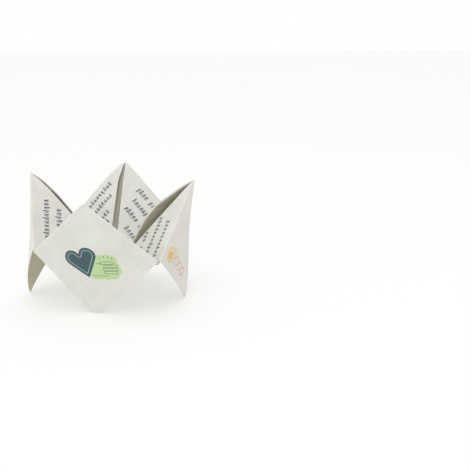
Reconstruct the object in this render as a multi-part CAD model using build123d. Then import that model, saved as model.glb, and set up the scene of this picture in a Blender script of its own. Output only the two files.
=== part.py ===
"""Paper fortune teller (cootie catcher): one square sheet of thick uncoated paper, blintz-folded twice, creased both ways
and opened so that it stands on the four corners of the sheet with its four peaks up.

The sheet is one piece with no cuts. It is modelled as the real fold is made: from its middle surface, with every layer of
the stack in place (outer square, wall, under layer and top layer of each flap) and a round fold wherever the paper turns,
then given its thickness. Where eight creases cross at each peak the paper is worn to a pinhole.
+Z is up, the front peak is at -Y, and the four blunt corners of the sheet stand on z = 0."""

import os

import numpy as np
from build123d import *

# ---- driving dimensions, mm -------------------------------------------------------------
sheet = 210.0        # side of the square sheet, cut from the width of an A4 page
t = 0.25             # thickness of the uncoated recycled paper
e = 53.25            # grid of the creases: a quarter of the sheet and the gap left between flaps
g = 0.42             # from the middle of one stacked layer to the middle of the next
grow = 3.0           # distance from a peak over which a stack of layers opens to its full height
in_fold = 0.80       # how far the inner fold of a wall stays back from the outer fold round it
out_fold = 0.25      # run of the outer fold on either side of its crease
free_fold = 0.50     # run of the folded free edge of a flap on either side of its crease
roll = 0.25          # roundness of the soft bend down the middle of an outer square
sit = 1.1            # how far the valley of the wall lies below the corners of the flaps over it
# facets: points along each part of a ring round a peak, and the distances of the rings from it
arc_n, n_wall, n_flap, n_outer = 3, 1, 3, 4
rings = [1.2, 3.0, 7.5, 14.0, 20.0, 28.0, 38.0, 46.0, 49.4]
H = sheet / 2
side = H - e         # side of an outer square, 51.75

# The four peaks stand at the front, right, back and left; valley j lies between peak j and peak j + 1.
# Where the corners of the folded sheet stand, for an outer square of 52.5 mm, before the origin is set.
scale = side / 52.5
O = np.array([0.75, -1.21, 15.79]) * scale                      # the middle of the sheet
M = np.array([[36.78, -36.20, 31.66], [34.16, 33.36, 37.02],    # valleys
              [-34.76, 33.85, 32.30], [-34.70, -34.12, 35.30]]) * scale
C = np.array([[2.75, -54.99, 66.84], [50.95, -3.65, 70.26],     # peaks
              [-2.69, 48.12, 71.26], [-47.45, 2.18, 72.12]]) * scale
F = np.array([[-1.45, -32.76, -3.92], [44.46, 1.83, -3.54],     # feet: corners of the sheet
              [2.35, 45.92, -2.82], [-51.15, -2.33, -2.06]]) * scale
F = F + np.array([[-0.6, 1.7, 0.0], [-0.7, 0, 0], [0, 2.0, 0], [-3.0, 2.5, 0]])
middle = np.array([-0.945, -3.21, -1.0])                        # taken off everything: puts the origin under the middle

# ---- how this one sheet has relaxed -----------------------------------------------------
slide = [0.0, 0.0, 2.4, 0.0]        # how far each pair of flaps stops short of the middle
# rise of a flap's free edge off its wall, keyed (peak, side): [(0 at the middle .. 1 at the peak, height)]
lift = {
    (0, 0): [(0, 0), (0.25, 0.8), (0.6, 1.4), (0.85, 0.8), (1, 0)],
    (0, 1): [(0, 0), (0.5, 0.8), (1, 0)],
    (1, 0): [(0, 0), (0.5, 0.3), (1, 0)],
    (1, 1): [(0, 0), (0.20, 0.6), (0.45, 5.6), (0.62, 6.6), (0.86, 2.9), (1, 0)],
    (2, 0): [(0, 0), (0.5, 0.5), (1, 0)],
    (2, 1): [(0, 0), (0.3, 1.0), (0.75, 1.3), (0.93, 0.5), (1, 0)],
    (3, 0): [(0, 0), (0.2, 1.0), (0.5, 3.2), (0.72, 3.4), (0.88, 2.2), (1, 0)],
    (3, 1): [(0, 0), (0.2, 1.0), (0.5, 2.9), (0.80, 2.3), (0.93, 1.0), (1, 0)],
}
draw = {(2, 1): 2.6}                # how much further a free edge stands back from its ridge
puff = {(2, 0): 1.0, (1, 1): 0.3, (3, 1): 0.3}   # how open the fold of a free edge is
flare = {(2, 1): 3.6}               # outward bow of an outer fold
belly = {1: (0.0, 1.4), 3: (0.3, 0.4)}   # outward bow of an outer square, all along it and low down
wave = {(1, 0): 1.2, (1, 1): 0.8, (3, 0): 0.8, (3, 1): 1.7}   # outward bow of its raw edges

def unit(v):
    return v / np.linalg.norm(v)


def wall_normal(k, j, O, M, C):
    """Normal of the wall triangle middle, valley j, peak k, on its side towards the well."""
    n = unit(np.cross(M[j] - O, C[k] - O))
    return n if n @ ((C[(k + 2) % 4] - O) * [1, 1, 0] + [0, 0, 30.0]) > 0 else -n


def settle(O, M, C, F):
    """The peaks reach out a little past the creases, and the walls lie a little below the flaps folded over them."""
    C = np.array([c + unit(c - O) for c in C])
    up = [unit(wall_normal(j, j, O, M, C) + wall_normal((j + 1) % 4, j, O, M, C)) for j in range(4)]
    M = np.array([M[j] - sit * up[j] for j in range(4)])
    O = O - [0, 0, 1.0]
    return O - middle, M - middle, C - middle, F - middle


def smooth(x):
    x = np.clip(x, 0, 1)
    return x * x * (3 - 2 * x)


def affine(src, dst):
    """Map of the flat sheet onto the plane of three points."""
    W = np.linalg.solve(np.column_stack([np.array(src, float), np.ones(3)]), np.array(dst, float))
    return lambda a, b: a * W[0] + b * W[1] + W[2]


def fold(p1, T1, p2, T2, n):
    """Points inside a round fold that leaves p1 along T1 and reaches p2 along T2."""
    D = np.linalg.norm(p2 - p1)
    h = D / (3 * np.cos(np.arccos(np.clip(T1 @ T2, -1, 1)) / 4) ** 2)
    u = (np.arange(1, n) / n)[:, None]
    c1, c2 = p1 + T1 * h, p2 - T2 * h
    return (1 - u) ** 3 * p1 + 3 * (1 - u) ** 2 * u * c1 + 3 * (1 - u) * u ** 2 * c2 + u ** 3 * p2


class Quarter:
    """A quarter of the sheet, with its peak k at (e, e) and the middle of the sheet at (0, 0).

    Eight triangles of 45 degrees meet at the peak. Going round from the ridge: wall, under layer of the flap, top layer
    of the flap, outer square, and the same back again on the other side. side s of the quarter is its half towards
    valley J[s]; every function here takes a and b with a along that half's edge of the wall."""

    def __init__(q, k):
        q.k, q.J = k, [(k - 1) % 4, k]
        q.n = [wall_normal(k, j, O, M, C) for j in q.J]
        q.run, q.back, q.mitre, q.wall, q.under, q.top, q.outer = [], [], [], [], [], [], []
        for s, j in enumerate(q.J):
            across = wall_normal((j + 1) % 4 if s == 1 else j, j, O, M, C)
            q.mitre.append((q.n[s] + across) / (1 + q.n[s] @ across))
            run = unit(M[j] - O)
            tip, end = O + run * slide[j], M[j] + run * slide[j]
            corner = C[k] + (end - C[k]) * (side / e)
            q.run.append(run)
            q.back.append(unit(F[k] - corner))
            q.wall.append(affine([(e, 0), (0, 0), (e, e)], [M[j], O, C[k]]))
            q.under.append(affine([(e, 0), (2 * e, 0), (e, e)], [M[j], tip, C[k]]))
            q.top.append(affine([(2 * e, e), (2 * e, 0), (e, e)], [end, tip, C[k]]))
            q.outer.append(affine([(H, e), (H, H), (e, e)], [corner, F[k], C[k]]))
        ends = [q.outer[s](2 * e, e) for s in (0, 1)]
        axis = unit(F[k] - C[k])
        v = (ends[0] + ends[1]) / 2 - C[k]
        v = v - axis * (axis @ v)
        q.inward, q.slope = unit(v), np.linalg.norm(v) / (np.linalg.norm(ends[0] - ends[1]) / 2)

    def rise(q, s, a, b, top):
        """How far a flap stands off its wall over the point (a, b) of the wall."""
        tab = lift[(q.k, s)]
        y = np.clip((e - a) / max(e - b, 1e-6), 0, 1)
        h = np.interp(b / e, [x for x, _ in tab], [z for _, z in tab]) * y ** 1.25
        if top:
            h = h * 1.03 + puff.get((q.k, s), 0.0) * smooth(y * 2.2 - 1.2) * smooth((1 - b / e) / 0.12) * smooth(b / e / 0.1)
        return h

    def bow(q, s, d):
        return flare.get((q.k, s), 0.0) * np.sin(np.pi * np.clip(d / (side * 1.08), 0, 1)) ** 0.8

    def at(q, s, part, a, b):
        """Middle surface of one of the four kinds of triangle."""
        d = max(abs(a - e), abs(b - e), 1e-9)
        stack = min(1.0, d / grow)
        n = q.n[s]
        if part == "wall":
            return q.wall[s](a, b)
        if part == "under":
            x = np.clip((a - e) / d, 0, 1)
            m = np.clip(1 - b / (10.0 * (1 - x) + 1.8 * x), 0, 1)
            return q.under[s](a, b) + (n * g + (q.mitre[s] * g - n * g) * m) * stack + n * q.rise(s, 2 * e - a, b, False)
        if part == "top":
            X = q.top[s](a, b) + q.run[s] * q.bow(s, d) * np.clip(1 - (e - b) / d, 0, 1)
            return X + n * (2 * g * stack + q.rise(s, b, 2 * e - a, True))
        away = (a - b) / 2 ** 0.5                     # distance from the diagonal of the outer square
        far = d / 2 ** 0.5
        soft = roll * d * (1 - 0.85 * (d / side) ** 2)
        X = q.outer[s](a, b)
        X = X + q.inward * q.slope * (np.hypot(away, soft) - away - (np.hypot(far, soft) - far) * away / far)
        x, (high, low) = min(d / side, 1.0), belly.get(q.k, (0.0, 0.0))
        X = X - q.inward * (high * np.sin(np.pi * x**1.5) + low * np.sin(np.pi * x**3)) * (1 - smooth(away / far))
        X = X - q.inward * wave.get((q.k, s), 0.0) * np.sin(np.pi * np.clip((b - e) / d, 0, 1)) * x**3
        return X + q.run[s] * q.bow(s, d) * np.clip(1 - (b - e) / d, 0, 1) ** 1.5

    def foot_start(q, s):
        """Where along the raw edge, as a share of the outer square's side, the sheet reaches the table."""
        lo, hi = 0.3, 0.9999
        for _ in range(60):
            m = (lo + hi) / 2
            lo, hi = (m, hi) if q.at(s, "outer", H, e + m * side)[2] > 0 else (lo, m)
        return lo

    def ring(q, d, foot):
        """The closed line of points at distance d round the peak: places in space, on the sheet, and which way quads split."""
        stack = min(1.0, d / grow)
        halves = []
        for s in (0, 1):
            X, U, L = [], [], []

            def put(part, a, b):
                X.append(q.at(s, part, a, b)), U.append((a, b)), L.append(part)

            def bend(points, end):
                start = U[-1]
                for i, x in enumerate(points):
                    f = (i + 1) / arc_n
                    X.append(x), U.append((start[0] + (end[0] - start[0]) * f, start[1] + (end[1] - start[1]) * f)), L.append("fold")

            hi, ho = in_fold * stack, out_fold * stack
            lat = (free_fold * stack + min(draw.get((q.k, s), 0.0), 0.25 * max(d - 1.0, 0.0))) * 2 ** 0.5
            lat_top = lat * (1 - slide[q.J[s]] / e)
            # the wall, from the ridge to the valley side
            for x in np.linspace(0, 1 - hi / d, n_wall + 1):
                put("wall", e - d * (1 - x), e - d)
            # the inner fold
            bend(fold(X[-1], q.run[s], q.at(s, "under", e + hi, e - d), -q.run[s], arc_n), (e + hi, e - d))
            for x in np.linspace(hi / d, 1 - lat / d, n_flap + 1):
                put("under", e + x * d, e - d)
            # the folded free edge of the flap
            p2 = (e + d, e - d + lat_top)
            ridge = unit(C[q.k] - (O + q.run[s] * slide[q.J[s]]))
            T = unit(np.cross(q.n[s], ridge))
            T = T if T @ (O - M[q.J[s]]) > 0 else -T
            Tu = Tt = T
            if 3 < d < 45:
                h = 0.5
                Tu = X[-1] - q.at(s, "under", e + d - lat - h, e - d - h)
                Tt = q.at(s, "top", *p2) - q.at(s, "top", p2[0] + h, p2[1] + h)
                Tu, Tt = unit(Tu - ridge * (Tu @ ridge)), unit(Tt - ridge * (Tt @ ridge))
            bend(fold(X[-1], Tu, q.at(s, "top", *p2), -Tt, arc_n), p2)
            for x in np.linspace(1 - lat_top / d, ho / d, n_flap + 1):
                put("top", e + d, e - x * d)
            # the outer fold, then the outer square to its diagonal
            bend(fold(X[-1], q.run[s], q.at(s, "outer", e + d, e + ho), q.back[s], arc_n), (e + d, e + ho))
            put("outer", e + d, e + ho)
            for x in list(np.linspace(0, foot[s], n_outer)[1:]) + [(1 + foot[s]) / 2, 1.0]:
                put("outer", e + d, e + max(x * d, ho * 1.5))
            halves.append((X, U, L))
        (X0, U0, L0), (X1, U1, L1) = halves
        X0[0] = (X0[0] + X1[0]) / 2
        X0[-1] = (X0[-1] + X1[-1]) / 2
        split = [l == "top" for l in L0[:-1]] + [l != "top" for l in L1[-2::-1]]
        return X0 + X1[-2:0:-1], U0 + [(b, a) for a, b in U1][-2:0:-1], split


def middle_surface():
    """Points of the middle of the folded paper, their places on the flat sheet, triangles, how thick the paper is at each
    point as a share of t, and the points that stand on the table."""
    V, UV, T, thin, known, foot = [], [], [], [], {}, []

    def point(x, u, th=1.0, name=None):
        if name is not None and name in known:
            V[known[name]] = (V[known[name]] + x) / 2
            return known[name]
        V.append(np.array(x)), UV.append(np.array(u)), thin.append(th)
        if name is not None:
            known[name] = len(V) - 1
        return len(V) - 1

    along = [np.array(v, float) for v in ((0, -1), (1, 0), (0, 1), (-1, 0))]   # on the sheet, towards valleys 3, 0, 1, 2
    for k in range(4):
        q = Quarter(k)
        A, B = along[k], along[(k + 1) % 4]
        starts = [q.foot_start(0), q.foot_start(1)]
        before = ids = None
        for d in rings + [side]:
            X, U, split = q.ring(d, starts)
            before, ids = ids, [point(x, u[0] * A + u[1] * B, min(1.0, d / grow)) for x, u in zip(X, U)]
            if before is None:
                continue
            for i in range(len(ids)):
                j = (i + 1) % len(ids)
                if split[i]:
                    T.append((before[i], ids[i], before[j])), T.append((ids[i], ids[j], before[j]))
                else:
                    T.append((before[i], ids[i], ids[j])), T.append((before[i], ids[j], before[j]))
        # the corner of the sheet is blunt where it meets the table
        for i, i0 in zip(ids, before):
            if V[i][2] < 1e-4:
                f = V[i0][2] / (V[i0][2] - V[i][2])
                V[i] = V[i0] + (V[i] - V[i0]) * f
                V[i][2] = 0.0
                UV[i] = UV[i0] + (UV[i] - UV[i0]) * f
                foot.append(i)
        # the last strip of the wall and of the under layer, out to the valley they share with the next quarter
        count = n_wall + arc_n + n_flap + 1
        for s in (0, 1):
            near = ([ids[0]] + (ids[1:] if s == 0 else ids[:0:-1]))[:count]
            row = [(q.at(s, "wall", a, 0.0), a) for a in np.linspace(0, e - in_fold, n_wall + 1)]
            arc = fold(row[-1][0], q.run[s], q.at(s, "under", e + in_fold, 0.0), -q.run[s], arc_n)
            row += [(x, e - in_fold + 2 * in_fold * (i + 1) / arc_n) for i, x in enumerate(arc)]
            end = abs(UV[near[-1]] @ (A if s == 0 else B))
            row += [(q.at(s, "under", a, 0.0), a) for a in np.linspace(e + in_fold, end, n_flap + 1)]
            far = [point(x, a * (A if s == 0 else B), 1.0, "middle" if i == 0 else (q.J[s], i)) for i, (x, a) in enumerate(row)]
            for i in range(count - 1):
                a, b, c, d = near[i], far[i], far[i + 1], near[i + 1]
                T.extend([(a, b, c), (a, c, d)] if s == 0 else [(a, c, b), (a, d, c)])
    return np.array(V), np.array(UV), np.array(T), np.array(thin), foot


def thicken(V, T, thin, foot):
    """The closed skin of the paper: the middle surface moved half the thickness each way and joined along its raw edges."""
    n = np.cross(V[T[:, 1]] - V[T[:, 0]], V[T[:, 2]] - V[T[:, 0]])
    n = n / np.linalg.norm(n, axis=1)[:, None]
    around = [[] for _ in V]
    for f, tri in enumerate(T):
        for i in range(3):
            p, q = V[tri[(i + 1) % 3]] - V[tri[i]], V[tri[(i + 2) % 3]] - V[tri[i]]
            around[tri[i]].append((np.arccos(np.clip(unit(p) @ unit(q), -1, 1)), f))
    off, flat = np.zeros_like(V), set(foot)
    for i, fans in enumerate(around):
        w = np.array([a for a, _ in fans])[:, None]
        N = n[[f for _, f in fans]]
        A = (N * w).T @ N + 0.02 * w.sum() * np.eye(3)
        b = (N * w).sum(0) + 0.02 * w.sum() * unit((w * N).sum(0))
        x = np.append(np.linalg.solve(A[:2, :2], b[:2]), 0.0) if i in flat else np.linalg.solve(A, b)
        off[i] = x * min(1.0, 1.7 / np.linalg.norm(x)) * t / 2 * thin[i]
    m = len(V)
    skin = [tuple(f) for f in T] + [(c + m, b + m, a + m) for a, b, c in T]
    edges = {(f[i], f[(i + 1) % 3]) for f in T for i in range(3)}
    for a, b in sorted(edges):
        if (b, a) not in edges:
            skin += [(b, a, a + m), (b, a + m, b + m)]
    return np.vstack([V + off, V - off]), skin


O, M, C, F = settle(O, M, C, F)

# ---- the solid ---------------------------------------------------------------------------
V, UV, T, thin, foot = middle_surface()
P, skin = thicken(V, T, thin, foot)
faces = [Face(Wire.make_polygon([Vector(*P[i]) for i in f], close=True)) for f in skin]
folded_sheet = Solid(Shell(faces))

box = folded_sheet.bounding_box()
print("size", box.size, "min", box.min, "max", box.max)
print("volume", round(folded_sheet.volume, 1), "flat sheet", sheet * sheet * t, "valid", folded_sheet.is_valid)

os.makedirs("parts", exist_ok=True)
export_step(folded_sheet, "parts/folded_sheet.step")
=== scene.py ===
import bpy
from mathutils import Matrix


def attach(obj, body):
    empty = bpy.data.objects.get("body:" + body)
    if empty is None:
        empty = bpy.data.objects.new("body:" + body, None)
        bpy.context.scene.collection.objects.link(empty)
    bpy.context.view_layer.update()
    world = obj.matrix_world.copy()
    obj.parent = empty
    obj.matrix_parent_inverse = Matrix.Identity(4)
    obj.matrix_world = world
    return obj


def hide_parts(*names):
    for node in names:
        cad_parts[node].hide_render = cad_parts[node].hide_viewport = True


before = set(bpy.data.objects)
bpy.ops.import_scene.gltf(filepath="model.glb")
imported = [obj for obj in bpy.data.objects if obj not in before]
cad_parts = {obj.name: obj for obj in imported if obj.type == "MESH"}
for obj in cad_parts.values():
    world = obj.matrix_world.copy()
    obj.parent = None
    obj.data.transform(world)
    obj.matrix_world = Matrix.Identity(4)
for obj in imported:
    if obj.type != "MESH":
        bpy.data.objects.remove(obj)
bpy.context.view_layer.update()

import bpy
import numpy as np
from mathutils import Matrix, Vector

# =========================================================================================
# The folded sheet: the same fold as the CAD part, with more points along its bends
# =========================================================================================
# ---- driving dimensions, mm -------------------------------------------------------------
sheet = 210.0        # side of the square sheet, cut from the width of an A4 page
t = 0.25             # thickness of the uncoated recycled paper
e = 53.25            # grid of the creases: a quarter of the sheet and the gap left between flaps
g = 0.42             # from the middle of one stacked layer to the middle of the next
grow = 3.0           # distance from a peak over which a stack of layers opens to its full height
in_fold = 0.80       # how far the inner fold of a wall stays back from the outer fold round it
out_fold = 0.25      # run of the outer fold on either side of its crease
free_fold = 0.50     # run of the folded free edge of a flap on either side of its crease
roll = 0.25          # roundness of the soft bend down the middle of an outer square
sit = 1.1            # how far the valley of the wall lies below the corners of the flaps over it
# facets: points along each part of a ring round a peak, and the distances of the rings from it
arc_n, n_wall, n_flap, n_outer = 4, 2, 8, 12
rings = [0.45, 1.3, 3.0, 5.0, 7.5, 10.5, 14.0, 17.0, 20.0, 24.0, 28.0, 33.0, 38.0, 42.0, 46.0, 49.4]
H = sheet / 2
side = H - e         # side of an outer square, 51.75

# The four peaks stand at the front, right, back and left; valley j lies between peak j and peak j + 1.
# Where the corners of the folded sheet stand, for an outer square of 52.5 mm, before the origin is set.
scale = side / 52.5
O = np.array([0.75, -1.21, 15.79]) * scale                      # the middle of the sheet
M = np.array([[36.78, -36.20, 31.66], [34.16, 33.36, 37.02],    # valleys
              [-34.76, 33.85, 32.30], [-34.70, -34.12, 35.30]]) * scale
C = np.array([[2.75, -54.99, 66.84], [50.95, -3.65, 70.26],     # peaks
              [-2.69, 48.12, 71.26], [-47.45, 2.18, 72.12]]) * scale
F = np.array([[-1.45, -32.76, -3.92], [44.46, 1.83, -3.54],     # feet: corners of the sheet
              [2.35, 45.92, -2.82], [-51.15, -2.33, -2.06]]) * scale
F = F + np.array([[-0.6, 1.7, 0.0], [-0.7, 0, 0], [0, 2.0, 0], [-3.0, 2.5, 0]])
middle = np.array([-0.945, -3.21, -1.0])                        # taken off everything: puts the origin under the middle

# ---- how this one sheet has relaxed -----------------------------------------------------
slide = [0.0, 0.0, 2.4, 0.0]        # how far each pair of flaps stops short of the middle
# rise of a flap's free edge off its wall, keyed (peak, side): [(0 at the middle .. 1 at the peak, height)]
lift = {
    (0, 0): [(0, 0), (0.25, 0.8), (0.6, 1.4), (0.85, 0.8), (1, 0)],
    (0, 1): [(0, 0), (0.5, 0.8), (1, 0)],
    (1, 0): [(0, 0), (0.5, 0.3), (1, 0)],
    (1, 1): [(0, 0), (0.20, 0.6), (0.45, 5.6), (0.62, 6.6), (0.86, 2.9), (1, 0)],
    (2, 0): [(0, 0), (0.5, 0.5), (1, 0)],
    (2, 1): [(0, 0), (0.3, 1.0), (0.75, 1.3), (0.93, 0.5), (1, 0)],
    (3, 0): [(0, 0), (0.2, 1.0), (0.5, 3.2), (0.72, 3.4), (0.88, 2.2), (1, 0)],
    (3, 1): [(0, 0), (0.2, 1.0), (0.5, 2.9), (0.80, 2.3), (0.93, 1.0), (1, 0)],
}
draw = {(2, 1): 2.6}                # how much further a free edge stands back from its ridge
puff = {(2, 0): 1.0, (1, 1): 0.3, (3, 1): 0.3}   # how open the fold of a free edge is
flare = {(2, 1): 3.6}               # outward bow of an outer fold
belly = {1: (0.0, 1.4), 3: (0.3, 0.4)}   # outward bow of an outer square, all along it and low down
wave = {(1, 0): 1.2, (1, 1): 0.8, (3, 0): 0.8, (3, 1): 1.7}   # outward bow of its raw edges

def unit(v):
    return v / np.linalg.norm(v)


def wall_normal(k, j, O, M, C):
    """Normal of the wall triangle middle, valley j, peak k, on its side towards the well."""
    n = unit(np.cross(M[j] - O, C[k] - O))
    return n if n @ ((C[(k + 2) % 4] - O) * [1, 1, 0] + [0, 0, 30.0]) > 0 else -n


def settle(O, M, C, F):
    """The peaks reach out a little past the creases, and the walls lie a little below the flaps folded over them."""
    C = np.array([c + unit(c - O) for c in C])
    up = [unit(wall_normal(j, j, O, M, C) + wall_normal((j + 1) % 4, j, O, M, C)) for j in range(4)]
    M = np.array([M[j] - sit * up[j] for j in range(4)])
    O = O - [0, 0, 1.0]
    return O - middle, M - middle, C - middle, F - middle


def smooth(x):
    x = np.clip(x, 0, 1)
    return x * x * (3 - 2 * x)


def affine(src, dst):
    """Map of the flat sheet onto the plane of three points."""
    W = np.linalg.solve(np.column_stack([np.array(src, float), np.ones(3)]), np.array(dst, float))
    return lambda a, b: a * W[0] + b * W[1] + W[2]


def fold(p1, T1, p2, T2, n):
    """Points inside a round fold that leaves p1 along T1 and reaches p2 along T2."""
    D = np.linalg.norm(p2 - p1)
    h = D / (3 * np.cos(np.arccos(np.clip(T1 @ T2, -1, 1)) / 4) ** 2)
    u = (np.arange(1, n) / n)[:, None]
    c1, c2 = p1 + T1 * h, p2 - T2 * h
    return (1 - u) ** 3 * p1 + 3 * (1 - u) ** 2 * u * c1 + 3 * (1 - u) * u ** 2 * c2 + u ** 3 * p2


class Quarter:
    """A quarter of the sheet, with its peak k at (e, e) and the middle of the sheet at (0, 0).

    Eight triangles of 45 degrees meet at the peak. Going round from the ridge: wall, under layer of the flap, top layer
    of the flap, outer square, and the same back again on the other side. side s of the quarter is its half towards
    valley J[s]; every function here takes a and b with a along that half's edge of the wall."""

    def __init__(q, k):
        q.k, q.J = k, [(k - 1) % 4, k]
        q.n = [wall_normal(k, j, O, M, C) for j in q.J]
        q.run, q.back, q.mitre, q.wall, q.under, q.top, q.outer = [], [], [], [], [], [], []
        for s, j in enumerate(q.J):
            across = wall_normal((j + 1) % 4 if s == 1 else j, j, O, M, C)
            q.mitre.append((q.n[s] + across) / (1 + q.n[s] @ across))
            run = unit(M[j] - O)
            tip, end = O + run * slide[j], M[j] + run * slide[j]
            corner = C[k] + (end - C[k]) * (side / e)
            q.run.append(run)
            q.back.append(unit(F[k] - corner))
            q.wall.append(affine([(e, 0), (0, 0), (e, e)], [M[j], O, C[k]]))
            q.under.append(affine([(e, 0), (2 * e, 0), (e, e)], [M[j], tip, C[k]]))
            q.top.append(affine([(2 * e, e), (2 * e, 0), (e, e)], [end, tip, C[k]]))
            q.outer.append(affine([(H, e), (H, H), (e, e)], [corner, F[k], C[k]]))
        ends = [q.outer[s](2 * e, e) for s in (0, 1)]
        axis = unit(F[k] - C[k])
        v = (ends[0] + ends[1]) / 2 - C[k]
        v = v - axis * (axis @ v)
        q.inward, q.slope = unit(v), np.linalg.norm(v) / (np.linalg.norm(ends[0] - ends[1]) / 2)

    def rise(q, s, a, b, top):
        """How far a flap stands off its wall over the point (a, b) of the wall."""
        tab = lift[(q.k, s)]
        y = np.clip((e - a) / max(e - b, 1e-6), 0, 1)
        h = np.interp(b / e, [x for x, _ in tab], [z for _, z in tab]) * y ** 1.25
        if top:
            h = h * 1.03 + puff.get((q.k, s), 0.0) * smooth(y * 2.2 - 1.2) * smooth((1 - b / e) / 0.12) * smooth(b / e / 0.1)
        return h

    def bow(q, s, d):
        return flare.get((q.k, s), 0.0) * np.sin(np.pi * np.clip(d / (side * 1.08), 0, 1)) ** 0.8

    def at(q, s, part, a, b):
        """Middle surface of one of the four kinds of triangle."""
        d = max(abs(a - e), abs(b - e), 1e-9)
        stack = min(1.0, d / grow)
        n = q.n[s]
        if part == "wall":
            return q.wall[s](a, b)
        if part == "under":
            x = np.clip((a - e) / d, 0, 1)
            m = np.clip(1 - b / (10.0 * (1 - x) + 1.8 * x), 0, 1)
            return q.under[s](a, b) + (n * g + (q.mitre[s] * g - n * g) * m) * stack + n * q.rise(s, 2 * e - a, b, False)
        if part == "top":
            X = q.top[s](a, b) + q.run[s] * q.bow(s, d) * np.clip(1 - (e - b) / d, 0, 1)
            return X + n * (2 * g * stack + q.rise(s, b, 2 * e - a, True))
        away = (a - b) / 2 ** 0.5                     # distance from the diagonal of the outer square
        far = d / 2 ** 0.5
        soft = roll * d * (1 - 0.85 * (d / side) ** 2)
        X = q.outer[s](a, b)
        X = X + q.inward * q.slope * (np.hypot(away, soft) - away - (np.hypot(far, soft) - far) * away / far)
        x, (high, low) = min(d / side, 1.0), belly.get(q.k, (0.0, 0.0))
        X = X - q.inward * (high * np.sin(np.pi * x**1.5) + low * np.sin(np.pi * x**3)) * (1 - smooth(away / far))
        X = X - q.inward * wave.get((q.k, s), 0.0) * np.sin(np.pi * np.clip((b - e) / d, 0, 1)) * x**3
        return X + q.run[s] * q.bow(s, d) * np.clip(1 - (b - e) / d, 0, 1) ** 1.5

    def foot_start(q, s):
        """Where along the raw edge, as a share of the outer square's side, the sheet reaches the table."""
        lo, hi = 0.3, 0.9999
        for _ in range(60):
            m = (lo + hi) / 2
            lo, hi = (m, hi) if q.at(s, "outer", H, e + m * side)[2] > 0 else (lo, m)
        return lo

    def ring(q, d, foot):
        """The closed line of points at distance d round the peak: places in space, on the sheet, and which way quads split."""
        stack = min(1.0, d / grow)
        halves = []
        for s in (0, 1):
            X, U, L = [], [], []

            def put(part, a, b):
                X.append(q.at(s, part, a, b)), U.append((a, b)), L.append(part)

            def bend(points, end):
                start = U[-1]
                for i, x in enumerate(points):
                    f = (i + 1) / arc_n
                    X.append(x), U.append((start[0] + (end[0] - start[0]) * f, start[1] + (end[1] - start[1]) * f)), L.append("fold")

            hi, ho = in_fold * stack, out_fold * stack
            lat = (free_fold * stack + min(draw.get((q.k, s), 0.0), 0.25 * max(d - 1.0, 0.0))) * 2 ** 0.5
            lat_top = lat * (1 - slide[q.J[s]] / e)
            # the wall, from the ridge to the valley side
            for x in np.linspace(0, 1 - hi / d, n_wall + 1):
                put("wall", e - d * (1 - x), e - d)
            # the inner fold
            bend(fold(X[-1], q.run[s], q.at(s, "under", e + hi, e - d), -q.run[s], arc_n), (e + hi, e - d))
            for x in np.linspace(hi / d, 1 - lat / d, n_flap + 1):
                put("under", e + x * d, e - d)
            # the folded free edge of the flap
            p2 = (e + d, e - d + lat_top)
            ridge = unit(C[q.k] - (O + q.run[s] * slide[q.J[s]]))
            T = unit(np.cross(q.n[s], ridge))
            T = T if T @ (O - M[q.J[s]]) > 0 else -T
            Tu = Tt = T
            if 3 < d < 45:
                h = 0.5
                Tu = X[-1] - q.at(s, "under", e + d - lat - h, e - d - h)
                Tt = q.at(s, "top", *p2) - q.at(s, "top", p2[0] + h, p2[1] + h)
                Tu, Tt = unit(Tu - ridge * (Tu @ ridge)), unit(Tt - ridge * (Tt @ ridge))
            bend(fold(X[-1], Tu, q.at(s, "top", *p2), -Tt, arc_n), p2)
            for x in np.linspace(1 - lat_top / d, ho / d, n_flap + 1):
                put("top", e + d, e - x * d)
            # the outer fold, then the outer square to its diagonal
            bend(fold(X[-1], q.run[s], q.at(s, "outer", e + d, e + ho), q.back[s], arc_n), (e + d, e + ho))
            put("outer", e + d, e + ho)
            for x in list(np.linspace(0, foot[s], n_outer)[1:]) + [(1 + foot[s]) / 2, 1.0]:
                put("outer", e + d, e + max(x * d, ho * 1.5))
            halves.append((X, U, L))
        (X0, U0, L0), (X1, U1, L1) = halves
        X0[0] = (X0[0] + X1[0]) / 2
        X0[-1] = (X0[-1] + X1[-1]) / 2
        split = [l == "top" for l in L0[:-1]] + [l != "top" for l in L1[-2::-1]]
        return X0 + X1[-2:0:-1], U0 + [(b, a) for a, b in U1][-2:0:-1], split


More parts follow.
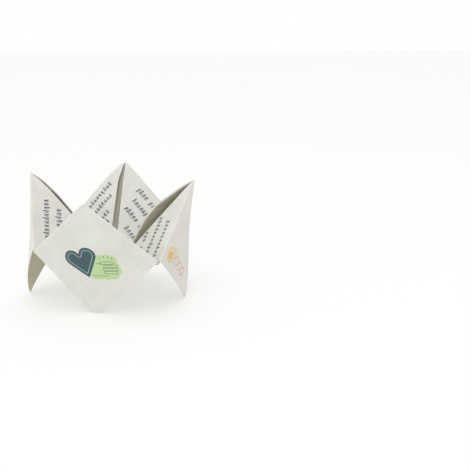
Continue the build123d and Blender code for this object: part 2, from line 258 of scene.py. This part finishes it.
def middle_surface():
    """Points of the middle of the folded paper, their places on the flat sheet, triangles, how thick the paper is at each
    point as a share of t, and the points that stand on the table."""
    V, UV, T, thin, known, foot = [], [], [], [], {}, []

    def point(x, u, th=1.0, name=None):
        if name is not None and name in known:
            V[known[name]] = (V[known[name]] + x) / 2
            return known[name]
        V.append(np.array(x)), UV.append(np.array(u)), thin.append(th)
        if name is not None:
            known[name] = len(V) - 1
        return len(V) - 1

    along = [np.array(v, float) for v in ((0, -1), (1, 0), (0, 1), (-1, 0))]   # on the sheet, towards valleys 3, 0, 1, 2
    for k in range(4):
        q = Quarter(k)
        A, B = along[k], along[(k + 1) % 4]
        starts = [q.foot_start(0), q.foot_start(1)]
        before = ids = None
        for d in rings + [side]:
            X, U, split = q.ring(d, starts)
            before, ids = ids, [point(x, u[0] * A + u[1] * B, min(1.0, d / grow)) for x, u in zip(X, U)]
            if before is None:
                continue
            for i in range(len(ids)):
                j = (i + 1) % len(ids)
                if split[i]:
                    T.append((before[i], ids[i], before[j])), T.append((ids[i], ids[j], before[j]))
                else:
                    T.append((before[i], ids[i], ids[j])), T.append((before[i], ids[j], before[j]))
        # the corner of the sheet is blunt where it meets the table
        for i, i0 in zip(ids, before):
            if V[i][2] < 1e-4:
                f = V[i0][2] / (V[i0][2] - V[i][2])
                V[i] = V[i0] + (V[i] - V[i0]) * f
                V[i][2] = 0.0
                UV[i] = UV[i0] + (UV[i] - UV[i0]) * f
                foot.append(i)
        # the last strip of the wall and of the under layer, out to the valley they share with the next quarter
        count = n_wall + arc_n + n_flap + 1
        for s in (0, 1):
            near = ([ids[0]] + (ids[1:] if s == 0 else ids[:0:-1]))[:count]
            row = [(q.at(s, "wall", a, 0.0), a) for a in np.linspace(0, e - in_fold, n_wall + 1)]
            arc = fold(row[-1][0], q.run[s], q.at(s, "under", e + in_fold, 0.0), -q.run[s], arc_n)
            row += [(x, e - in_fold + 2 * in_fold * (i + 1) / arc_n) for i, x in enumerate(arc)]
            end = abs(UV[near[-1]] @ (A if s == 0 else B))
            row += [(q.at(s, "under", a, 0.0), a) for a in np.linspace(e + in_fold, end, n_flap + 1)]
            far = [point(x, a * (A if s == 0 else B), 1.0, "middle" if i == 0 else (q.J[s], i)) for i, (x, a) in enumerate(row)]
            for i in range(count - 1):
                a, b, c, d = near[i], far[i], far[i + 1], near[i + 1]
                T.extend([(a, b, c), (a, c, d)] if s == 0 else [(a, c, b), (a, d, c)])
    return np.array(V), np.array(UV), np.array(T), np.array(thin), foot


def thicken(V, T, thin, foot):
    """The closed skin of the paper: the middle surface moved half the thickness each way and joined along its raw edges."""
    n = np.cross(V[T[:, 1]] - V[T[:, 0]], V[T[:, 2]] - V[T[:, 0]])
    n = n / np.linalg.norm(n, axis=1)[:, None]
    around = [[] for _ in V]
    for f, tri in enumerate(T):
        for i in range(3):
            p, q = V[tri[(i + 1) % 3]] - V[tri[i]], V[tri[(i + 2) % 3]] - V[tri[i]]
            around[tri[i]].append((np.arccos(np.clip(unit(p) @ unit(q), -1, 1)), f))
    off, flat = np.zeros_like(V), set(foot)
    for i, fans in enumerate(around):
        w = np.array([a for a, _ in fans])[:, None]
        N = n[[f for _, f in fans]]
        A = (N * w).T @ N + 0.02 * w.sum() * np.eye(3)
        b = (N * w).sum(0) + 0.02 * w.sum() * unit((w * N).sum(0))
        x = np.append(np.linalg.solve(A[:2, :2], b[:2]), 0.0) if i in flat else np.linalg.solve(A, b)
        off[i] = x * min(1.0, 1.7 / np.linalg.norm(x)) * t / 2 * thin[i]
    m = len(V)
    skin = [tuple(f) for f in T] + [(c + m, b + m, a + m) for a, b, c in T]
    edges = {(f[i], f[(i + 1) % 3]) for f in T for i in range(3)}
    for a, b in sorted(edges):
        if (b, a) not in edges:
            skin += [(b, a, a + m), (b, a + m, b + m)]
    return np.vstack([V + off, V - off]), skin


O, M, C, F = settle(O, M, C, F)


V, UV, T, thin, foot = middle_surface()
P, skin = thicken(V, T, thin, foot)
m = len(V)
P = P / 1000.0

mesh = bpy.data.meshes.new("printed_folded_sheet")
mesh.from_pydata([tuple(p) for p in P], [], [tuple(int(i) for i in f) for f in skin])
mesh.update()
place = np.vstack([UV, UV]) / sheet + 0.5          # the square sheet laid flat fills the UV square
layer = mesh.uv_layers.new(name="flat_sheet")
loops = np.empty(len(mesh.loops), dtype=np.int32)
mesh.loops.foreach_get("vertex_index", loops)
layer.data.foreach_set("uv", place[loops].ravel())
face_side = mesh.attributes.new("printed_side", "FLOAT", "FACE")
face_side.data.foreach_set("value", np.array([1.0 if max(f) < m else 0.0 for f in skin]))
mesh.polygons.foreach_set("use_smooth", np.ones(len(skin), dtype=bool))
mesh.set_sharp_from_angle(angle=np.radians(52.0))
paper = bpy.data.objects.new("printed_folded_sheet", mesh)
bpy.context.scene.collection.objects.link(paper)
weighted = paper.modifiers.new("even_normals", "WEIGHTED_NORMAL")
weighted.keep_sharp, weighted.mode, weighted.weight = True, "FACE_AREA", 50


# =========================================================================================
# The paper and its print, as sums on the flat sheet in millimetres
# =========================================================================================
class Sum:
    """A value in a shader, which ordinary arithmetic on turns into math nodes."""

    tree = None

    def __init__(self, socket):
        self.socket = socket

    @staticmethod
    def node(operation, *values, clamp=False):
        n = Sum.tree.nodes.new("ShaderNodeMath")
        n.operation, n.use_clamp = operation, clamp
        for i, v in enumerate(values):
            if isinstance(v, Sum):
                Sum.tree.links.new(v.socket, n.inputs[i])
            else:
                n.inputs[i].default_value = float(v)
        return Sum(n.outputs[0])

    def __add__(self, o): return Sum.node("ADD", self, o)
    def __radd__(self, o): return Sum.node("ADD", o, self)
    def __sub__(self, o): return Sum.node("SUBTRACT", self, o)
    def __rsub__(self, o): return Sum.node("SUBTRACT", o, self)
    def __mul__(self, o): return Sum.node("MULTIPLY", self, o)
    def __rmul__(self, o): return Sum.node("MULTIPLY", o, self)
    def __truediv__(self, o): return Sum.node("DIVIDE", self, o)
    def __neg__(self): return Sum.node("MULTIPLY", self, -1.0)
    def __abs__(self): return Sum.node("ABSOLUTE", self)
    def __lt__(self, o): return Sum.node("LESS_THAN", self, o)
    def __gt__(self, o): return Sum.node("GREATER_THAN", self, o)
    def low(self, o): return Sum.node("MINIMUM", self, o)
    def high(self, o): return Sum.node("MAXIMUM", self, o)
    def floor(self): return Sum.node("FLOOR", self)
    def part(self): return Sum.node("FRACT", self)
    def root(self): return Sum.node("SQRT", self)
    def clamp(self): return Sum.node("ADD", self, 0.0, clamp=True)


def length(x, y):
    return (x * x + y * y).root()


def ink(d, edge=0.10):
    """1 inside the shape whose distance is d, 0 outside, with a slightly soft printed edge."""
    return Sum.node("MULTIPLY_ADD", d, -1.0 / edge, 0.5, clamp=True)


def disc(x, y, cx, cy, r):
    return length(x - cx, y - cy) - r


def capsule(x, y, x0, x1, cy, r):
    along_it = Sum.node("MAXIMUM", abs(x - (x0 + x1) / 2) - (x1 - x0) / 2, 0.0)
    return length(along_it, y - cy) - r


def noise(scale, detail=2.0, rough=0.5, dims="3D", vector=None, distortion=0.0):
    n = Sum.tree.nodes.new("ShaderNodeTexNoise")
    n.noise_dimensions = dims
    n.inputs["Scale"].default_value = scale
    n.inputs["Detail"].default_value = detail
    n.inputs["Roughness"].default_value = rough
    n.inputs["Distortion"].default_value = distortion
    Sum.tree.links.new(vector, n.inputs["Vector"])
    return n


def stretched(vector, scale, turn=(0, 0, 0)):
    n = Sum.tree.nodes.new("ShaderNodeMapping")
    n.inputs["Scale"].default_value = scale
    n.inputs["Rotation"].default_value = turn
    Sum.tree.links.new(vector, n.inputs["Vector"])
    return n.outputs["Vector"]


def step(value, lo, hi):
    n = Sum.tree.nodes.new("ShaderNodeMapRange")
    n.interpolation_type = "SMOOTHSTEP"
    n.inputs["From Min"].default_value, n.inputs["From Max"].default_value = lo, hi
    Sum.tree.links.new(value.socket if isinstance(value, Sum) else value, n.inputs["Value"])
    return Sum(n.outputs["Result"])


def mix(factor, a, b):
    n = Sum.tree.nodes.new("ShaderNodeMix")
    n.data_type = "RGBA"
    Sum.tree.links.new(factor.socket, n.inputs["Factor"])
    for v, s in ((a, n.inputs[6]), (b, n.inputs[7])):
        if isinstance(v, tuple):
            s.default_value = (*v, 1.0)
        else:
            Sum.tree.links.new(v, s)
    return n.outputs[2]


def colour(r, g, b):
    """Screen colour 0..255 as the linear values a shader takes."""
    c = np.array([r, g, b]) / 255.0
    return tuple(float(x) for x in np.where(c <= 0.04045, c / 12.92, ((c + 0.055) / 1.055) ** 2.4))


# rows of greeked marks on each half of each quarter: (peak, half): [(across, from, to)] on the flat sheet, mm
plain = [(45.5, 72.0, 99.0), (38.0, 75.0, 97.5), (30.5, 80.0, 96.0), (23.0, 87.0, 97.0)]
rows = {
    (0, 0): plain, (0, 1): plain, (1, 1): plain, (3, 0): plain,
    (1, 0): [(45.0, 76.5, 104.0), (35.0, 75.5, 101.5), (25.3, 84.0, 99.0)],
    (2, 0): [(46.6, 73.5, 94.0), (39.3, 77.5, 97.0), (31.5, 79.0, 97.0), (22.9, 87.0, 99.0)],
    (2, 1): [(47.0, 69.5, 93.5), (39.9, 74.5, 92.5), (32.0, 83.0, 92.0), (26.8, 87.2, 88.6)],
    (3, 1): [(44.4, 70.5, 101.0), (36.8, 75.5, 92.0)],
}
directions = [(0, -1), (1, 0), (0, 1), (-1, 0)]


def paper_material():
    mat = bpy.data.materials.new("recycled_paper")
    mat.use_nodes = True
    tree = Sum.tree = mat.node_tree
    tree.nodes.clear()
    out = tree.nodes.new("ShaderNodeOutputMaterial")
    shader = tree.nodes.new("ShaderNodeBsdfPrincipled")
    tree.links.new(shader.outputs[0], out.inputs["Surface"])

    uv = tree.nodes.new("ShaderNodeUVMap")
    uv.uv_map = "flat_sheet"
    flat = tree.nodes.new("ShaderNodeVectorMath")
    flat.operation = "MULTIPLY_ADD"
    flat.inputs[1].default_value = (sheet,) * 3
    flat.inputs[2].default_value = (-sheet / 2, -sheet / 2, 0)
    tree.links.new(uv.outputs["UV"], flat.inputs[0])
    xyz = tree.nodes.new("ShaderNodeSeparateXYZ")
    tree.links.new(flat.outputs[0], xyz.inputs[0])
    side_node = tree.nodes.new("ShaderNodeAttribute")
    side_node.attribute_name = "printed_side"
    printed = Sum(side_node.outputs["Fac"])
    # the ink wanders a few hundredths of a millimetre on the rough paper
    wobble = noise(1.6, 2.0, vector=flat.outputs[0])
    wxyz = tree.nodes.new("ShaderNodeSeparateXYZ")
    tree.links.new(wobble.outputs["Color"], wxyz.inputs[0])
    u = Sum(xyz.outputs["X"]) + (Sum(wxyz.outputs["X"]) - 0.5) * 0.22
    v = Sum(xyz.outputs["Y"]) + (Sum(wxyz.outputs["Y"]) - 0.5) * 0.22

    # ---- the paper: clouded pulp, fibres, flecks -----------------------------------------
    cloud = noise(0.055, 4.0, 0.6, vector=flat.outputs[0])
    grain = noise(1.1, 4.0, 0.65, vector=flat.outputs[0])
    fibre_a = noise(1.0, 3.0, 0.55, vector=stretched(flat.outputs[0], (0.35, 2.6, 1), (0, 0, 0.5)), distortion=1.2)
    fibre_b = noise(1.0, 3.0, 0.55, vector=stretched(flat.outputs[0], (2.8, 0.30, 1), (0, 0, -0.9)), distortion=1.2)
    base = mix(step(Sum(cloud.outputs["Fac"]), 0.30, 0.70), colour(*TONE_LOW), colour(*TONE_HIGH))
    base = mix(step(Sum(grain.outputs["Fac"]), 0.58, 0.80) * 0.35, base, colour(214, 214, 205))
    fibres = (step(Sum(fibre_a.outputs["Fac"]), 0.66, 0.76) + step(Sum(fibre_b.outputs["Fac"]), 0.67, 0.77)).clamp()
    base = mix(fibres * 0.30, base, colour(206, 204, 190))

    def flecks(scale, stretch, turn, rarity, lo, hi):
        n = tree.nodes.new("ShaderNodeTexVoronoi")
        n.feature, n.distance, n.voronoi_dimensions = "F1", "EUCLIDEAN", "2D"
        n.inputs["Scale"].default_value = scale
        tree.links.new(stretched(flat.outputs[0], stretch, turn), n.inputs["Vector"])
        c = tree.nodes.new("ShaderNodeSeparateColor")
        tree.links.new(n.outputs["Color"], c.inputs[0])
        size = Sum(c.outputs[1]) * (hi - lo) + lo
        return (Sum(n.outputs["Distance"]) < size) * (Sum(c.outputs[0]) > rarity), Sum(c.outputs[2])

    small, tint = flecks(0.42, (1.0, 0.6, 1), (0, 0, 0.7), 0.80, 0.04, 0.11)
    base = mix(small * (tint * 0.24 + 0.08), base, colour(128, 118, 100))
    large, tint = flecks(0.13, (0.65, 1.25, 1), (0, 0, -0.4), 0.72, 0.02, 0.055)
    base = mix(large * (tint * 0.30 + 0.15), base, colour(120, 112, 108))
    strand, tint = flecks(0.16, (0.22, 2.6, 1), (0, 0, 1.0), 0.70, 0.02, 0.06)
    base = mix(strand * (tint * 0.25 + 0.10), base, colour(150, 132, 112))

    # ---- creases are worn a little: the fibres lift, and stay a shade lighter -------------
    au, av = abs(Sum(xyz.outputs["X"])), abs(Sum(xyz.outputs["Y"]))
    near = abs(au - e).low(abs(av - e)).low(abs(au + av - 2 * e) * 0.7071)
    worn = step(near * -1.0, -0.75, 0.0) * (Sum(grain.outputs["Fac"]) * 1.6 - 0.2).clamp()
    base = mix(worn * 0.25, base, colour(238, 238, 233))

    # ---- rows of marks -------------------------------------------------------------------
    total = x_row = y_row = seed = None
    count = 0
    for (k, s), lines in rows.items():
        A, B = directions[k], directions[(k + 1) % 4]
        if s == 1:
            A, B = B, A
        a = (u * float(A[0])) if A[0] else (v * float(A[1]))
        b = (u * float(B[0])) if B[0] else (v * float(B[1]))
        for across, lo, hi in lines:
            count += 1
            y = b - across
            x = a - lo
            here = (abs(y) < 2.6) * (x > 0.0) * (x < hi - lo)
            parts = (here, here * x, here * y, here * float(count))
            if total is None:
                total, x_row, y_row, seed = parts
            else:
                total, x_row, y_row, seed = total + parts[0], x_row + parts[1], y_row + parts[2], seed + parts[3]
    pitch = 2.35
    cell = (x_row / pitch).floor()
    cx = (x_row / pitch).part() * pitch
    white = tree.nodes.new("ShaderNodeTexWhiteNoise")
    white.noise_dimensions = "2D"
    join = tree.nodes.new("ShaderNodeCombineXYZ")
    tree.links.new(cell.socket, join.inputs[0])
    tree.links.new(seed.socket, join.inputs[1])
    tree.links.new(join.outputs[0], white.inputs["Vector"])
    rnd = tree.nodes.new("ShaderNodeSeparateColor")
    tree.links.new(white.outputs["Color"], rnd.inputs[0])
    r0, r1, r2 = (Sum(rnd.outputs[i]) for i in range(3))
    tall = (r1 > 0.72) * 0.95
    deep = (r1 < 0.14) * 0.85
    middle_y = (tall - deep) * 0.5
    half_y = (tall + deep) * 0.5 + 1.42
    body = abs(y_row - middle_y) - half_y
    thick = (abs(cx - y_row * 0.06 - (r2 * 0.25 + 0.55)) - (r0 * 0.10 + 0.30)).high(body)
    hair = (abs(cx + y_row * 0.10 - (r0 * 0.2 + 1.55)) - 0.17).high(abs(y_row) - 1.38)
    knot = length(cx - (r1 * 0.5 + 1.0), y_row - (r2 - 0.5) * 1.8) - 0.34
    marks = ink(thick.low(hair).low(knot), 0.08) * total * (r0 > 0.07)
    slate = colour(52, 70, 84)
    ink_total = mix(marks * printed * 0.94, base, slate)

    # ---- heart on the front outer square ---------------------------------------------------
    X = (u + v) * 0.70710678 - 0.9
    Y = (u - v) * 0.70710678 + 1.2
    blob = disc(X, Y, 4.6, 111.0, 3.5)
    for cx_, cy_, r in [(8.0, 110.6, 3.4), (11.0, 111.6, 3.1), (12.0, 115.0, 3.1), (13.6, 118.1, 2.7), (11.6, 120.6, 3.0),
                        (8.2, 120.9, 2.9), (4.9, 120.7, 3.1), (1.6, 121.0, 2.8), (3.0, 116.5, 5.0), (8.0, 116.0, 5.0)]:
        blob = blob.low(disc(X, Y, cx_, cy_, r))
    green = colour(190, 214, 158)
    col = mix(ink(blob) * printed, ink_total, green)
    pills = abs(capsule(X, Y, 5.2, 11.0, 112.9, 0.85)) - 0.16
    for x0, x1, cy_ in [(7.2, 12.7, 115.0), (6.6, 13.6, 117.0), (7.4, 12.8, 119.0)]:
        pills = pills.low(abs(capsule(X, Y, x0, x1, cy_, 0.85)) - 0.16)
    strokes = pills.low(capsule(X, Y, -0.4, 8.6, 121.3, 0.17)).low(capsule(X, Y, 2.2, 5.0, 113.2, 0.17))
    for cx_, cy_, lean in [(4.6, 109.6, 0.35), (6.7, 108.9, 0.12), (8.9, 108.9, -0.12), (11.1, 109.6, -0.35)]:
        dx, dy = X - cx_, Y - cy_
        strokes = strokes.low(length(dx - dy * lean, (abs(dy) - 0.42).high(0.0)) - 0.19)
    col = mix(ink(strokes) * printed * 0.9, col, colour(70, 118, 104))

    # the heart's own axes: x across it, y from its notch to its point
    dX, dY = X + 0.9 - HEART_X, Y - 1.2 - HEART_Y
    c_, s_ = float(np.cos(HEART_TURN)), float(np.sin(HEART_TURN))
    hx, hy = abs(dX * c_ + dY * s_), dY * c_ - dX * s_
    cx0, cy0, r, tip = 4.75, 3.3, 5.05, HEART_LONG
    d = float(np.hypot(cx0, tip - cy0))
    turn = float(np.arctan2(cx0, tip - cy0) + np.arcsin(r / d))
    n1 = (float(np.cos(turn)), float(np.sin(turn)))
    notch_y = cy0 - float(np.sqrt(r * r - cx0 * cx0))
    n2 = (-cx0 / r, (notch_y - cy0) / r)
    qx, qy = hx - cx0, hy - cy0
    arc = r - length(qx, qy)
    line = (tip - hy) * n1[1] - hx * n1[0]
    lower = ((qy * n1[0] - qx * n1[1]) > 0.0) * ((qx * n2[1] - qy * n2[0]) > 0.0)
    inner = line.low(length(hx, hy - notch_y))
    depth = lower * inner + (1.0 - lower) * arc
    heart = ink(-depth) * printed
    col = mix(heart * 0.96, col, colour(58, 82, 94))
    outline = ink(abs(depth - 1.75) - 0.19) * printed
    col = mix(outline * 0.85, col, colour(150, 205, 190))

    # ---- plain shapes on the right outer square --------------------------------------------
    def ring_shape(cu, cv, r, w):
        return abs(disc(u, v, cu, cv, r)) - w

    col = mix(ink(disc(u, v, 97.1, 61.0, 2.3)) * printed * 0.9, col, colour(226, 176, 84))
    col = mix(ink(ring_shape(96.5, 61.4, 3.9, 0.5).low(ring_shape(93.5, 65.6, 2.3, 0.35))) * printed * 0.8, col, colour(230, 186, 104))
    col = mix(ink(ring_shape(96.4, 69.7, 2.5, 0.38).low(ring_shape(97.0, 75.2, 2.2, 0.36))) * printed * 0.75, col, colour(228, 160, 140))
    col = mix(ink(ring_shape(97.5, 80.4, 2.2, 0.38)) * printed * 0.75, col, colour(224, 134, 134))

    # ---- painted shade: the unprinted side, which faces the shaded insides and undersides, is multiplied to a warmer, darker grey ---
    unprinted_side_shade = tree.nodes.new("ShaderNodeMix")
    unprinted_side_shade.data_type, unprinted_side_shade.blend_type = "RGBA", "MULTIPLY"
    tree.links.new((1.0 - printed).socket, unprinted_side_shade.inputs["Factor"])
    tree.links.new(col, unprinted_side_shade.inputs[6])
    unprinted_side_shade.inputs[7].default_value = (0.82, 0.77, 0.66, 1.0)
    # ---- painted shade: the layer under each flap, seen where a flap lifts off it, is darkened to the olive of its shade ---
    under_flap_shade = (au.high(av) > e + 1.2) * (au + av < 2 * e - 0.9) * printed
    under = tree.nodes.new("ShaderNodeMix")
    under.data_type, under.blend_type = "RGBA", "MULTIPLY"
    tree.links.new(under_flap_shade.socket, under.inputs["Factor"])
    tree.links.new(unprinted_side_shade.outputs[2], under.inputs[6])
    under.inputs[7].default_value = (0.66, 0.61, 0.50, 1.0)
    # ---- painted shade: the ridge of the back quarter is darkened in the gap between its two flaps, where shadow falls ---
    ridge_at = abs(au - av) * 0.7071
    on_wall = (au < e) * (av < e) * (Sum(xyz.outputs["X"]) < 0.0) * (Sum(xyz.outputs["Y"]) > 0.0) * printed
    ridge_gap_shade = step(ridge_at * -1.0, -5.4, -3.2) * on_wall * step(au, 1.5, 10.0)
    col = mix(ridge_gap_shade * 0.70, under.outputs[2], colour(122, 116, 92))
    tree.links.new(col, shader.inputs["Base Color"])
    shader.inputs["Roughness"].default_value = 0.86
    shader.inputs["Specular IOR Level"].default_value = 0.25
    shader.inputs["Sheen Weight"].default_value = 0.06

    # ---- bump: tooth of the paper, fibres, and slow cockle ---------------------------------
    tooth = noise(2.4, 5.0, 0.7, vector=flat.outputs[0])
    slow = noise(0.045, 2.0, 0.5, vector=flat.outputs[0])
    height = Sum(tooth.outputs["Fac"]) * 0.055 + fibres * 0.03 + Sum(grain.outputs["Fac"]) * 0.05 + Sum(slow.outputs["Fac"]) * COCKLE
    bump = tree.nodes.new("ShaderNodeBump")
    bump.inputs["Strength"].default_value = 1.0
    bump.inputs["Distance"].default_value = 0.001
    tree.links.new(height.socket, bump.inputs["Height"])
    tree.links.new(bump.outputs[0], shader.inputs["Normal"])
    return mat


TONE_LOW, TONE_HIGH = (217, 217, 210), (226, 225, 219)
HEART_X, HEART_Y, HEART_TURN, HEART_LONG = -7.3, 105.8, -0.36, 16.9
COCKLE = 0.9
paper.data.materials.append(paper_material())
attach(paper, "root")
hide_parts("folded_sheet")

# =========================================================================================
# Studio
# =========================================================================================
floor_mesh = bpy.data.meshes.new("floor")
half = 6.0
floor_mesh.from_pydata([(-half, -half, 0), (half, -half, 0), (half, half, 0), (-half, half, 0)], [], [(0, 1, 2, 3)])
floor = bpy.data.objects.new("floor", floor_mesh)
floor.location = (0, 0, -0.0002)
bpy.context.scene.collection.objects.link(floor)
white_mat = bpy.data.materials.new("studio_white")
white_mat.use_nodes = True
Sum.tree = white_mat.node_tree
wshader = Sum.tree.nodes["Principled BSDF"]
coords = Sum.tree.nodes.new("ShaderNodeTexCoord")
haze = noise(3.0, 3.0, vector=coords.outputs["Object"])
Sum.tree.links.new(mix(Sum(haze.outputs["Fac"]), (0.375, 0.375, 0.37), (0.385, 0.385, 0.38)), wshader.inputs["Base Color"])
wshader.inputs["Roughness"].default_value = 0.9
wshader.inputs["Emission Color"].default_value = (1.0, 1.0, 0.995, 1.0)
wshader.inputs["Emission Strength"].default_value = 0.60
wshader.inputs["Specular IOR Level"].default_value = 0.0
floor.data.materials.append(white_mat)

scene = bpy.context.scene
world = bpy.data.worlds.new("studio")
scene.world = world
world.use_nodes = True
back = world.node_tree.nodes["Background"]
# white all round, with a slightly darker card on the right
Sum.tree = world.node_tree
around = Sum.tree.nodes.new("ShaderNodeTexCoord")
way = Sum.tree.nodes.new("ShaderNodeSeparateXYZ")
Sum.tree.links.new(around.outputs["Generated"], way.inputs[0])
card = step(Sum(way.outputs["X"]), 0.35, 0.85)
Sum.tree.links.new(mix(card, (1.0, 1.0, 1.0), (0.72, 0.69, 0.66)), back.inputs["Color"])
back.inputs["Strength"].default_value = 1.0


def area(name, at, size, power, to=(0.0, 0.0, 0.03), tint=(1, 1, 1)):
    light = bpy.data.lights.new(name, "AREA")
    light.shape, light.size, light.energy, light.color = "DISK", size, power, tint
    lamp = bpy.data.objects.new(name, light)
    lamp.location = at
    lamp.rotation_euler = (Vector(to) - Vector(at)).to_track_quat("-Z", "Y").to_euler()
    scene.collection.objects.link(lamp)


area("key", (0.10, -0.52, 1.0), 0.9, 1.9)

# ---- camera ---------------------------------------------------------------------------------
focal, az, el, roll_ = 742.508731, 0.12331486, 0.266380412, -0.00812285815
shift = np.array([-73.2993361, 35.0177049, 450.897416]) * scale
forward = np.array([-np.sin(az) * np.cos(el), np.cos(az) * np.cos(el), -np.sin(el)])
right = np.array([np.cos(az), np.sin(az), 0.0])
up = np.cross(right, forward)
r2 = np.cos(roll_) * right + np.sin(roll_) * up
u2 = -np.sin(roll_) * right + np.cos(roll_) * up
R = np.array([r2, -u2, forward])
at = (-R.T @ shift - middle) / 1000.0
data = bpy.data.cameras.new("camera")
data.sensor_width, data.lens, data.clip_start = 36.0, focal / 470 * 36.0, 0.01
data.dof.use_dof = False
camera = bpy.data.objects.new("camera", data)
matrix = np.eye(4)
matrix[:3, 0], matrix[:3, 1], matrix[:3, 2], matrix[:3, 3] = r2, u2, -forward, at
camera.matrix_world = Matrix(matrix.tolist())
scene.collection.objects.link(camera)
bpy.context.scene.camera = camera
scene.view_settings.view_transform = "Standard"
scene.view_settings.look = "None"
